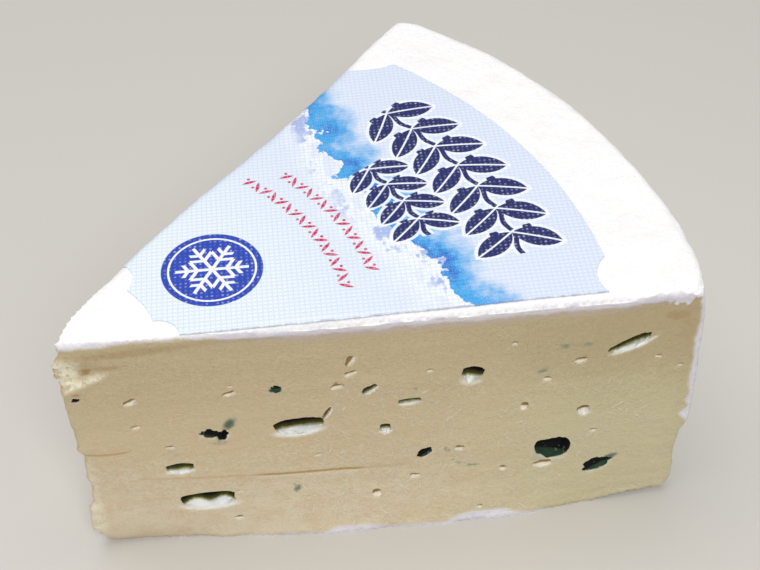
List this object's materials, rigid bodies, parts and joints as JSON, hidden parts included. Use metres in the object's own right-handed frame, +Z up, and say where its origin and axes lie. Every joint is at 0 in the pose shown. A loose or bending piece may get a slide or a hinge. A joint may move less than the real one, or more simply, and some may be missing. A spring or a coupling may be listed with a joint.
{
  "type": "cheese wedge",
  "caption": "Wedge of soft blue cheese with a white bloomy rind, mould pockets in its cut faces and a paper label stuck on its top.",
  "frame": {"origin": "middle of the wedge's bounding box, on the base that it rests on", "axes": "+Z up from the base to the labelled top, +X from the wedge's tip towards its curved rind, the near cut face looks towards -Y"},
  "size_m": [0.0906, 0.079, 0.0462],
  "materials": {
    "cheese": "matte",
    "label_paper": "satin"
  },
  "bodies": {
    "root": {"cheese_wedge": "cheese", "paper_label": "label_paper"}
  },
  "joints": []
}
